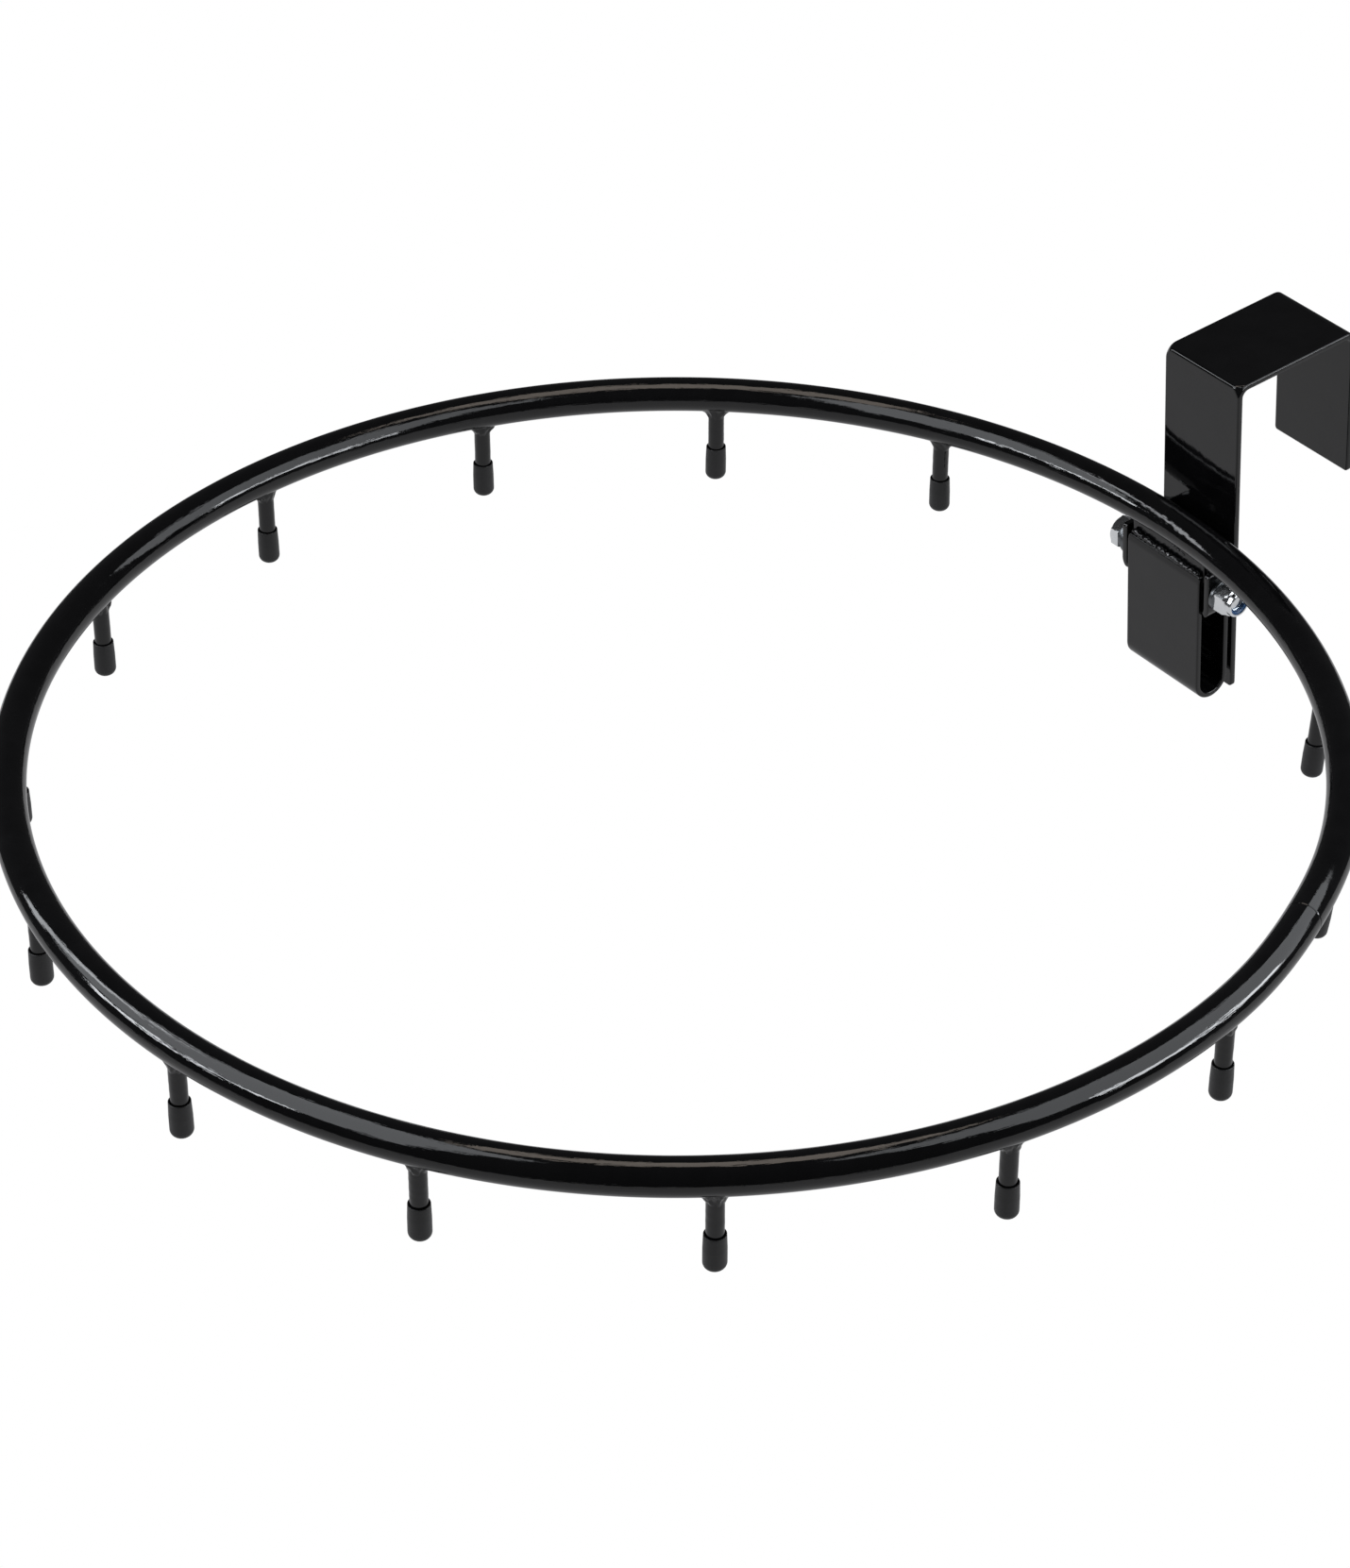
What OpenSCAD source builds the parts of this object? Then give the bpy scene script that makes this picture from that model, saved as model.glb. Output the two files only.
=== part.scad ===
// Hook-over ring rack: a steel ring with hanging pegs under it, hinged on a flat-bar hook
// that drops over the top edge of a panel. Millimetres, +Z up. The origin is the middle of
// the underside of the hook's top plate, and the ring reaches out towards -Y.

/* [Ring] */
// Radius of the ring, measured to the middle of the tube
ring_r = 222.5; // [150:0.5:300]
// Outside diameter of the ring tube
tube_d = 12.7; // [10:0.1:16]
// Wall of the ring tube
tube_wall = 1.2; // [0.8:0.1:2]
// Lift of the ring's far side, in degrees away from square to the hook
ring_tilt = 3.8; // [0:0.1:6]
// Turn of the tube's closing joint from the hook, in degrees
seam_turn = -63.5; // [-66:0.1:-57]
// Length of the weld that closes the tube
seam_gap = 0.8; // [0.4:0.1:2]

/* [Pegs] */
// Number of pegs under the ring
peg_count = 14; // [8:1:14]
// Turn of the first peg's even place from the hook, in degrees
peg_start = 25.6; // [20:0.1:40]
// Turn from one peg's even place to the next, in degrees
peg_pitch = 23.35; // [18:0.05:23.4]
// Diameter of a peg
peg_d = 5.9; // [4:0.1:7]
// Depth of a peg's tip under the middle of the ring tube, cap included
peg_drop = 36; // [30:0.1:60]
// Reach of a peg's weld along the tube, from the peg's axis
weld_reach = 5; // [4:0.1:5.5]
// Depth of a peg's weld under the tube
weld_depth = 3; // [2:0.1:5]

/* [Caps] */
// Length of a cap
cap_len = 13.5; // [10:0.1:20]
// Wall of a cap's sleeve
cap_wall = 0.9; // [0.6:0.05:1.5]
// Thickness of a cap's closed end
cap_end = 1.8; // [1:0.1:3]
// Radial clearance of a cap on its peg
cap_clear = 0.03; // [0.01:0.01:0.1]

/* [Hook] */
// Width of the flat bar that the hook is bent from
hook_w = 38; // [28:0.5:50]
// Thickness of the hook's bar
hook_t = 2.3; // [1.5:0.1:4]
// Clear space between the hook's two legs
hook_gap = 52.4; // [20:0.1:80]
// Length of the front leg, from the top of the hook
leg_len = 130.4; // [125:0.1:180]
// Length of the back leg, from the top of the hook
back_len = 60; // [30:0.5:120]
// Outside radius of the hook's bends
hook_bend = 5; // [4.5:0.1:8]
// Distance of the ring tube's middle in front of the front leg
ring_out = 13.5; // [13:0.1:20]
// Distance of the ring tube's middle under the top of the hook
ring_down = 60; // [50:0.5:70]

/* [Pivot] */
// Distance of the pivot behind the middle of the ring tube
pivot_in = 4; // [3.6:0.1:5]
// Distance of the pivot under the middle of the ring tube
pivot_down = 21.3; // [20:0.1:26]
// Diameter of the pivot bolt
bolt_d = 6.35; // [5:0.05:6.4]
// Outside diameter of the barrel on the bolt
barrel_d = 10.6; // [9:0.1:10.6]
// Radial clearance of the barrel on the bolt
barrel_clear = 0.07; // [0.02:0.01:0.1]
// Radial clearance of the bolt in the ears, washers and nut
hole_clear = 0.06; // [0.02:0.01:0.1]
// Gap between parts that turn past each other
run_gap = 0.3; // [0.3:0.05:0.6]

/* [Saddle] */
// Thickness of the saddle's ears and web
saddle_t = 2.5; // [1.5:0.1:4]
// Height of the ears
ear_h = 20; // [18:0.1:24]
// Height of the pivot above the bottom of the saddle
pivot_rise = 10; // [9.5:0.1:12]
// Gap between the strap and each ear
ear_gap = 1.5; // [1:0.1:3]
// Inside radius of the saddle's two bends
saddle_bend = 2.6; // [1:0.1:3]
// Reach of the ears in front of the pivot
ear_front = 6.6; // [5.5:0.1:7.5]

/* [Strap] */
// Width of the stem plate and the strap
strap_w = 38; // [28:0.5:50]
// Thickness of the strap
strap_t = 2; // [1:0.1:3]
// Outside depth of the strap's loop, front to back
loop_depth = 15; // [14:0.1:16]
// Distance of the strap's top edge above the pivot
strap_top = 7.8; // [6:0.1:9]
// Distance of the loop's lowest point under the pivot
loop_drop = 48.4; // [40:0.1:60]
// Thickness of the stem plate
stem_t = 2; // [1.5:0.1:3]

/* [Fasteners] */
// Width across the flats of the bolt head and the nut
hex_flats = 11.1; // [10:0.1:11.5]
// Height of the bolt head
head_h = 4.4; // [3.5:0.1:5]
// Thickness of a flat washer
washer_t = 1.6; // [1:0.1:2]
// Outside diameter of a flat washer
washer_d = 13; // [12:0.1:16]
// Thickness of the spring washer
spring_t = 2; // [1.2:0.1:2.4]
// Outside diameter of the spring washer
spring_d = 11.4; // [10:0.1:12]
// Height of the nut's hexagon
nut_hex_h = 5.7; // [4:0.1:6]
// Full height of the nut, collar included
nut_h = 7.9; // [6:0.1:8.5]
// Outside diameter of the nut's collar
collar_d = 9.8; // [8.5:0.1:10]

/* [Hidden] */
$fn = 64;
PEG_NUMBERS = [for (i = [1 : peg_count]) i < 10 ? str("0", i) : str(i)];

enamel = [0.03, 0.03, 0.033];
rubber = [0.05, 0.05, 0.05];
zinc = [0.78, 0.8, 0.82];
nylon = [0.08, 0.2, 0.42];

// Length that a cutting shape runs past the piece it cuts
past = 1;
// Clearance between the tube and what is shaped to it
tube_clear = 0.02;
// The pegs are set by hand: how far each lies past its even place, in degrees
peg_slip = [1, 0, -0.5, -0.5, -0.5, 0, -0.5, 0, 0, 0, 0.5, 0.5, 1, 1.5];
// How far each peg leans in towards the middle of the ring, in degrees
peg_lean = [0, 0, 0, 0, 0, 0, 0, 0, 0, 0, 0, 0, 7, 3];
// Front and back faces of the hook's front leg
leg_front = -hook_gap / 2 - hook_t;
leg_back = -hook_gap / 2;
// Place of the tube's middle where it passes the hook
tube_y = leg_front - ring_out;
tube_z = hook_t - ring_down;
// Place of the pivot
pivot_y = tube_y + pivot_in;
pivot_z = tube_z - pivot_down;
// Strap: its front leaf lies just in front of the barrel
barrel_gap = 0.2;
leaf_back = pivot_y - barrel_d / 2 - barrel_gap;
leaf_front = leaf_back - strap_t;
loop_r = loop_depth / 2;
loop_y = leaf_front + loop_r;
loop_z = pivot_z - loop_drop + loop_r;
// Saddle: a channel with its web under the barrel and its back edge on the leg
saddle_in = strap_w / 2 + ear_gap;
saddle_out = saddle_in + saddle_t;
web_bottom = pivot_z - pivot_rise;
web_top = web_bottom + saddle_t;
web_front = leaf_back + run_gap;
ear_y = pivot_y - ear_front;
// Stem plate: centred under the tube
stem_front = tube_y - stem_t / 2;
stem_back = tube_y + stem_t / 2;
// Cap and peg lengths
cap_in = peg_d / 2 + cap_clear;
cap_out = cap_in + cap_wall;
peg_len = peg_drop - cap_end;
// Places along the bolt, counted from the middle towards the head (-X) and the nut (+X)
head_seat = saddle_out + washer_t + spring_t;
nut_seat = saddle_out + washer_t;
bolt_len = head_seat + nut_seat + nut_h - 0.3;
insert_h = 1.7;
insert_d = collar_d - 1.6;
hole_r = bolt_d / 2 + hole_clear;

// Unit vector at a turn in degrees
function turned(a) = [cos(a), sin(a)];

// Puts a flat outline drawn in Y and Z across the part, w wide about the middle
module across(w) {
    rotate([90, 0, 90]) translate([0, 0, -w / 2]) linear_extrude(w) children();
}

// A straight weld bead of radius r and length w, across the part
module bead(y, z, r, w) {
    translate([-w / 2, y, z]) rotate([0, 90, 0]) cylinder(h = w, r = r);
}

// Moves a piece drawn about the ring's own middle, with the hook on its +Y side
module on_ring() {
    translate([0, tube_y, tube_z]) rotate([-ring_tilt, 0, 0]) translate([0, -ring_r, 0]) children();
}

// Moves a piece drawn on the axis of peg i, counted from 0
module at_peg(i) {
    turn = peg_start + peg_pitch * i + peg_slip[i];
    on_ring() rotate([0, 0, turn]) translate([0, ring_r, 0]) rotate([-peg_lean[i], 0, 0]) children();
}

// Room for the tube in the pieces that are shaped to it
module tube_room() {
    rotate_extrude($fn = 180) translate([ring_r, 0]) circle(r = tube_d / 2 + tube_clear);
}

// A quarter or half of a flat bar's bend, between two turns in degrees
module bend(y, z, outer, t, from, sweep) {
    translate([y, z]) intersection() {
        difference() {
            circle(r = outer);
            circle(r = outer - t);
        }
        polygon([[0, 0], for (k = [0 : 4]) 2 * outer * turned(from + sweep * k / 4)]);
    }
}

// Rolled tube, open by the length of its closing weld
module ring_tube() {
    open_turn = seam_gap / ring_r * 180 / PI;
    color(enamel) on_ring()
        rotate([0, 0, 90 + seam_turn + open_turn / 2])
            rotate_extrude(angle = 360 - open_turn, $fn = 180) tube_section();
}

// Weld that closes the tube's two ends
module ring_seam_weld() {
    open_turn = seam_gap / ring_r * 180 / PI;
    color(enamel) on_ring()
        rotate([0, 0, 90 + seam_turn - open_turn / 2])
            rotate_extrude(angle = open_turn, $fn = 180) tube_section();
}

// Section of the ring tube, out at the ring's radius
module tube_section() {
    translate([ring_r, 0]) difference() {
        circle(d = tube_d);
        circle(d = tube_d - 2 * tube_wall);
    }
}

// Round peg with its top shaped to the tube
module peg(i) {
    color(enamel) difference() {
        at_peg(i) translate([0, 0, -peg_len]) cylinder(h = peg_len, d = peg_d);
        on_ring() tube_room();
    }
}

// Collar of weld between a peg and the tube
module peg_weld(i) {
    top = tube_d / 2 - 2;
    bottom = tube_d / 2 + weld_depth;
    color(enamel) difference() {
        at_peg(i) translate([0, 0, -bottom])
            cylinder(h = bottom - top, r1 = peg_d / 2 + 0.3, r2 = weld_reach);
        at_peg(i) translate([0, 0, -bottom - past]) cylinder(h = bottom + past, d = peg_d);
        on_ring() tube_room();
    }
}

// Soft cap pushed on a peg's tip, closed and rounded below
module cap(i) {
    round_r = 2;
    color(rubber) at_peg(i) translate([0, 0, -peg_drop]) rotate_extrude() difference() {
        union() {
            translate([0, round_r]) square([cap_out, cap_len - round_r]);
            square([cap_out - round_r, round_r + past]);
            translate([cap_out - round_r, round_r]) circle(r = round_r);
        }
        translate([0, cap_end]) square([cap_in, cap_len]);
        translate([-2 * cap_out, -past]) square([2 * cap_out, cap_len + 2 * past]);
    }
}

// Upright plate between the tube and the barrel, shaped to both
module stem_plate() {
    color(enamel) difference() {
        translate([-strap_w / 2, stem_front, pivot_z])
            cube([strap_w, stem_t, tube_z - pivot_z]);
        on_ring() tube_room();
        bead(pivot_y, pivot_z, barrel_d / 2, strap_w + 2 * past);
    }
}

// Weld beads in front of and behind the plate, under the tube
module stem_weld() {
    r = 1.6;
    z = tube_z - tube_d / 2 - 0.4;
    color(enamel) difference() {
        union() {
            bead(stem_front, z, r, strap_w - 2);
            bead(stem_back, z, r, strap_w - 2);
        }
        on_ring() tube_room();
        translate([-strap_w / 2, stem_front, z - 2 * r]) cube([strap_w, stem_t, 4 * r]);
    }
}

// Tube that turns on the bolt
module hinge_barrel() {
    half = saddle_in - run_gap;
    color(enamel) translate([-half, pivot_y, pivot_z]) rotate([0, 90, 0]) difference() {
        cylinder(h = 2 * half, d = barrel_d);
        translate([0, 0, -past]) cylinder(h = 2 * half + 2 * past, r = bolt_d / 2 + barrel_clear);
    }
}

// Weld bead between the back of the plate and the barrel
module barrel_weld() {
    r = 1.4;
    rise = sqrt(pow(barrel_d / 2, 2) - pow(stem_back - pivot_y, 2));
    color(enamel) difference() {
        bead(stem_back, pivot_z + rise, r, strap_w - 2);
        bead(pivot_y, pivot_z, barrel_d / 2, strap_w);
        translate([-strap_w / 2, stem_front, pivot_z]) cube([strap_w, stem_t, barrel_d]);
    }
}

// Strap that hangs in front of the barrel and turns up behind itself
module stop_strap() {
    back_top = web_bottom - 2 * run_gap;
    color(enamel) across(strap_w) {
        translate([leaf_front, loop_z]) square([strap_t, pivot_z + strap_top - loop_z]);
        bend(loop_y, loop_z, loop_r, strap_t, 180, 180);
        translate([leaf_front + loop_depth - strap_t, loop_z]) square([strap_t, back_top - loop_z]);
    }
}

// Weld bead along the strap's top edge, against the stem plate
module strap_weld() {
    r = 1.5;
    top = pivot_z + strap_top;
    color(enamel) difference() {
        bead(leaf_front + strap_t * 0.7, top + 0.3, r, strap_w - 2);
        translate([-strap_w / 2, leaf_front - r, top - 2 * r]) cube([strap_w, strap_t + r, 2 * r]);
        translate([-strap_w / 2, stem_front, top - 2 * r]) cube([strap_w, stem_t, 4 * r]);
        bead(pivot_y, pivot_z, barrel_d / 2, strap_w);
    }
}

// Flat bar bent twice to drop over a panel's top edge
module hook() {
    inner = hook_bend - hook_t;
    far = hook_gap / 2;
    color(enamel) across(hook_w) {
        translate([leg_front, hook_t - leg_len]) square([hook_t, leg_len - hook_bend]);
        bend(leg_back + inner, -inner, hook_bend, hook_t, 90, 90);
        translate([leg_back + inner, 0]) square([hook_gap - 2 * inner, hook_t]);
        bend(far - inner, -inner, hook_bend, hook_t, 0, 90);
        translate([far, hook_t - back_len]) square([hook_t, back_len - hook_bend]);
    }
}

// Channel on the hook's leg whose two ears carry the bolt
module hinge_saddle() {
    outer = saddle_bend + saddle_t;
    color(enamel) difference() {
        translate([0, leg_front, 0]) rotate([90, 0, 0]) linear_extrude(leg_front - ear_y) {
            for (side = [-1, 1])
                translate([side * (saddle_in + saddle_t / 2) - saddle_t / 2, web_bottom + outer])
                    square([saddle_t, ear_h - outer]);
            bend(-saddle_in + saddle_bend, web_top + saddle_bend, outer, saddle_t, 180, 90);
            bend(saddle_in - saddle_bend, web_top + saddle_bend, outer, saddle_t, 270, 90);
            translate([-saddle_in + saddle_bend, web_bottom])
                square([2 * (saddle_in - saddle_bend), saddle_t]);
        }
        translate([-saddle_in + run_gap, ear_y - past, web_bottom - past])
            cube([2 * (saddle_in - run_gap), web_front - ear_y + past, ear_h]);
        translate([-saddle_out - past, pivot_y, pivot_z]) rotate([0, 90, 0])
            cylinder(h = 2 * (saddle_out + past), r = hole_r);
    }
}

// Weld beads above and below the web, on the face of the leg
module saddle_weld() {
    w = hook_w - 4;
    upper = 1.6;
    lower = 1.1;
    color(enamel) difference() {
        union() {
            bead(leg_front, web_top, upper, w);
            bead(leg_front, web_bottom, lower, w);
        }
        translate([-hook_w / 2, leg_front, web_bottom - 2 * lower]) cube([hook_w, 4, saddle_t + 8]);
        translate([-hook_w / 2, leg_front - 4, web_bottom]) cube([hook_w, 4, saddle_t]);
    }
}

// Hexagon-headed bolt, head towards -X
module hinge_bolt() {
    color(zinc) translate([-head_seat, pivot_y, pivot_z]) rotate([0, 90, 0]) {
        translate([0, 0, -head_h / 2]) cylinder(h = bolt_len + head_h / 2, d = bolt_d);
        translate([0, 0, -head_h]) rotate([0, 0, 30])
            cylinder(h = head_h, d = hex_flats / cos(30), $fn = 6);
    }
}

// Two plain washers, one outside each ear
module flat_washers() {
    color(zinc) for (x = [-saddle_out - washer_t, saddle_out])
        translate([x, pivot_y, pivot_z]) rotate([0, 90, 0]) difference() {
            cylinder(h = washer_t, d = washer_d);
            translate([0, 0, -past]) cylinder(h = washer_t + 2 * past, r = hole_r);
        }
}

// Split spring washer under the bolt head
module spring_washer() {
    split = 14;
    color(zinc) translate([-head_seat, pivot_y, pivot_z]) rotate([0, 90, 0])
        rotate([0, 0, split / 2]) rotate_extrude(angle = 360 - split)
            translate([hole_r, 0]) square([spring_d / 2 - hole_r, spring_t]);
}

// Self-locking nut: hexagon with a round collar that holds the insert
module lock_nut() {
    color(zinc) translate([nut_seat, pivot_y, pivot_z]) rotate([0, 90, 0]) difference() {
        union() {
            rotate([0, 0, 30]) cylinder(h = nut_hex_h, d = hex_flats / cos(30), $fn = 6);
            cylinder(h = nut_h, d = collar_d);
        }
        translate([0, 0, -past]) cylinder(h = nut_h + 2 * past, r = hole_r);
        translate([0, 0, nut_h - 0.4 - insert_h]) cylinder(h = insert_h, d = insert_d);
    }
}

// Plastic ring shut inside the nut's collar
module nut_insert() {
    color(nylon) translate([nut_seat + nut_h - 0.4 - insert_h, pivot_y, pivot_z]) rotate([0, 90, 0])
        difference() {
            cylinder(h = insert_h, d = insert_d);
            translate([0, 0, -past]) cylinder(h = insert_h + 2 * past, r = hole_r);
        }
}

ring_tube();
ring_seam_weld();
for (i = [0 : peg_count - 1]) {
    peg(i);
    peg_weld(i);
    cap(i);
}
stem_plate();
stem_weld();
hinge_barrel();
barrel_weld();
stop_strap();
strap_weld();
hook();
hinge_saddle();
saddle_weld();
hinge_bolt();
flat_washers();
spring_washer();
lock_nut();
nut_insert();
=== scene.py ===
"""Looks of a hook-over ring rack: gloss enamel on bent bar, tube and welds, soft caps, plated bolt and nut.

Every shape is a numpy grid, in metres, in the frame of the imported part.
"""

import math
import bpy
import numpy as np
from mathutils import Matrix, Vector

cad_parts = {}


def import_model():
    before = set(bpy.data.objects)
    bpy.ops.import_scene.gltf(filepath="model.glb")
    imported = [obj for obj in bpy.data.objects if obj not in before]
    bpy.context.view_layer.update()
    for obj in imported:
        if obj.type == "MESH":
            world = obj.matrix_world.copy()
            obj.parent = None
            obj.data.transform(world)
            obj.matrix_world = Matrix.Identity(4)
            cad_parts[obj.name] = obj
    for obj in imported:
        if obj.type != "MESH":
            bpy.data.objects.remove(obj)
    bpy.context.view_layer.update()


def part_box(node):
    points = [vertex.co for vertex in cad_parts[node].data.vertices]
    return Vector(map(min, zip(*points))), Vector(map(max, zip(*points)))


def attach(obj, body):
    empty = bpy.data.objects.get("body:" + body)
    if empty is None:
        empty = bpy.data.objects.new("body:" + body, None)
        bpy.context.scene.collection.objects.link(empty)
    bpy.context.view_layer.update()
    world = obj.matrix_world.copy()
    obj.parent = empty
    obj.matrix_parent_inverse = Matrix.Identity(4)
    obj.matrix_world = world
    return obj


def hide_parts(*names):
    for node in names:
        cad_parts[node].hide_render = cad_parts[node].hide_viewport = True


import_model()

MM = 0.001
X = np.array([1.0, 0.0, 0.0])
Y = np.array([0.0, 1.0, 0.0])
Z = np.array([0.0, 0.0, 1.0])
RING = "ring_side"
HOOK = "hook_side"
FLOOR_IN_GLOSS = (0.55, 0.55, 0.56)
COOL = (0.93, 0.96, 1.0)
WARM = (1.0, 0.88, 0.78)


# ---------------------------------------------------------------- sizes read from the frame

def corners(node):
    """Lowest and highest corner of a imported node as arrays."""
    lo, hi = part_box(node)
    return np.array(lo), np.array(hi)


tube_r = 6.35 * MM
ring_lo, ring_hi = corners("ring_tube")
ring_centre = (ring_lo + ring_hi) / 2
ring_r = (ring_hi[0] - ring_lo[0]) / 2 - tube_r
ring_tilt = math.asin((ring_hi[2] - ring_lo[2] - 2 * tube_r) / (2 * ring_r))
ring_back = np.array([0.0, math.cos(ring_tilt), -math.sin(ring_tilt)])
ring_up = np.array([0.0, math.sin(ring_tilt), math.cos(ring_tilt)])
tube_at_hook = ring_centre + ring_r * ring_back
seam_run_in = 0.7 * MM

peg_count = 14
peg_r = 2.95 * MM
weld_depth = 4.2 * MM
weld_reach = 6.6 * MM
cap_r = 3.88 * MM
cap_len = 13.5 * MM
peg_drop = 36 * MM

hook_lo, hook_hi = corners("hook")
hook_t = hook_hi[2]
hook_w = hook_hi[0] - hook_lo[0]
back_len = 60 * MM
hook_bend = 5 * MM

bolt_lo, bolt_hi = corners("hinge_bolt")
pivot = np.array([0.0, (bolt_lo[1] + bolt_hi[1]) / 2, (bolt_lo[2] + bolt_hi[2]) / 2])
bolt_r = 3.175 * MM
bolt_hole = bolt_r + 0.06 * MM
hex_flats = 11.1 * MM
hex_corner = hex_flats / 2 / math.cos(math.pi / 6)

strap_lo, strap_hi = corners("stop_strap")
strap_t = 2 * MM
saddle_lo, saddle_hi = corners("hinge_saddle")
saddle_t = 2.5 * MM


# ---------------------------------------------------------------- grids and meshes

def turns(count):
    """Even turns round a whole circle."""
    return np.arange(count) * 2 * np.pi / count


def ease(share):
    """A share from 0 to 1 that starts and ends gently: three of its squares less two of its cubes."""
    return share * share * (3 - 2 * share)


def ripple(u, v, seed, pitch, waves=9):
    """Smooth seeded unevenness between about -1 and 1: a sum of sine waves over u and v, each with its
    own direction and phase and a wavelength between half and twice the pitch."""
    rng = np.random.default_rng(seed)
    turn = rng.uniform(0, 2 * np.pi, waves)
    phase = rng.uniform(0, 2 * np.pi, waves)
    rate = 2 * np.pi / (pitch * 2 ** rng.uniform(-1, 1, waves))
    along = u[..., None] * np.cos(turn) + v[..., None] * np.sin(turn)
    return np.sin(along * rate + phase).sum(-1) / math.sqrt(2 * waves)


def grid_faces(rows, cols, closed_rows):
    """Corner numbers of each cell of a grid whose columns close on themselves, and whose rows may."""
    r = np.arange(rows if closed_rows else rows - 1)
    r0, c0 = np.meshgrid(r, np.arange(cols), indexing="ij")
    r1, c1 = (r0 + 1) % rows, (c0 + 1) % cols
    return np.stack([r0 * cols + c0, r0 * cols + c1, r1 * cols + c1, r1 * cols + c0], -1).reshape(-1, 4)


def loft(rings):
    """A skin through a stack of closed rings of points, closed by a point in the middle of each end ring."""
    rows, cols = rings.shape[:2]
    points = np.concatenate([rings.reshape(-1, 3), rings[[0, -1]].mean(axis=1)])
    here = np.arange(cols)
    there = (here + 1) % cols
    first = np.stack([np.full(cols, rows * cols), there, here], -1)
    last_row = (rows - 1) * cols
    last = np.stack([np.full(cols, rows * cols + 1), last_row + here, last_row + there], -1)
    return points, grid_faces(rows, cols, False), np.concatenate([first, last])


def hoop(rings):
    """A skin through rings of points whose last ring meets the first, as a tyre does."""
    rows, cols = rings.shape[:2]
    return rings.reshape(-1, 3), grid_faces(rows, cols, True), np.zeros((0, 3), int)


def outward(part):
    """The same closed skin with its faces turned outwards: the volume under its faces is made positive."""
    points, quads, tris = part
    fans = np.concatenate([quads[:, [0, 1, 2]], quads[:, [0, 2, 3]], tris])
    a, b, c = (points[fans[:, k]] for k in range(3))
    if (a * np.cross(b, c)).sum() < 0:
        return points, quads[:, ::-1], tris[:, ::-1]
    return part


def add_piece(name, body, finish, nodes, parts, crease=35):
    """One object made of closed skins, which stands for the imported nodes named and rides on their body."""
    points, faces, base = [], [], 0
    for part in map(outward, parts):
        points.append(part[0])
        faces += (part[1] + base).tolist() + (part[2] + base).tolist()
        base += len(part[0])
    mesh = bpy.data.meshes.new(name)
    mesh.from_pydata(np.concatenate(points).tolist(), [], faces)
    mesh.shade_smooth()
    mesh.set_sharp_from_angle(angle=math.radians(crease))
    mesh.materials.append(finish)
    piece = bpy.data.objects.new(name, mesh)
    bpy.context.scene.collection.objects.link(piece)
    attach(piece, body)
    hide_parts(*nodes)


def bent_line(stops, radii, step, fine=14):
    """Points and directions along straight runs joined by arcs. Each inner stop is rounded to its radius:
    the arc starts and ends where it touches the runs, and its points swing evenly about its centre."""
    stops = np.array(stops, float)
    points, ways = [], []
    start = stops[0]
    for k in range(1, len(stops)):
        way = (stops[k] - stops[k - 1]) / np.linalg.norm(stops[k] - stops[k - 1])
        end = stops[k]
        if k < len(stops) - 1:
            nxt = (stops[k + 1] - stops[k]) / np.linalg.norm(stops[k + 1] - stops[k])
            swing = math.acos(np.clip(way @ nxt, -1, 1))
            cut = radii[k - 1] * math.tan(swing / 2)
            end = stops[k] - way * cut
        count = max(2, int(np.linalg.norm(end - start) / step) + 1)
        share = np.linspace(0, 1, count)[:, None]
        points.append(start + share * (end - start))
        ways.append(np.repeat(way[None], count, 0))
        if k < len(stops) - 1:
            side = (nxt - way * (way @ nxt)) / math.sin(swing)
            centre = end + side * radii[k - 1]
            turn = (np.linspace(0, swing, fine)[1:-1])[:, None]
            points.append(centre - side * radii[k - 1] * np.cos(turn) + way * radii[k - 1] * np.sin(turn))
            ways.append(way * np.cos(turn) + side * np.sin(turn))
            start = stops[k] + nxt * cut
    return np.concatenate(points), np.concatenate(ways)


def arc_rows(length, reach):
    """Distances along a bar for its rows near both ends, close together where its corners are round."""
    near = reach * (1 - np.cos(np.linspace(0, np.pi / 2, 8)))
    return np.concatenate([near, length - near[::-1]])


def bar_section(across):
    """The closed outline of a flat bar's section with rounded edges. Each of its points has a share of the
    width, a side of the thickness, and a direction on the edge's quarter round."""
    quarter = np.linspace(0, np.pi / 2, 5)
    edge = 0.5 * (1 - np.cos(np.linspace(0, np.pi, across)))
    share = np.concatenate([np.ones(5), edge[::-1][1:-1], np.zeros(10), edge[1:-1], np.ones(5)])
    side = np.concatenate([np.ones(5), np.ones(across - 2), np.ones(5), -np.ones(5), -np.ones(across - 2),
                           -np.ones(5)])
    turn = np.concatenate([quarter, np.full(across - 2, np.pi / 2), quarter + np.pi / 2, quarter + np.pi,
                           np.full(across - 2, 1.5 * np.pi), quarter + 1.5 * np.pi])
    return share, side, turn


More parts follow.
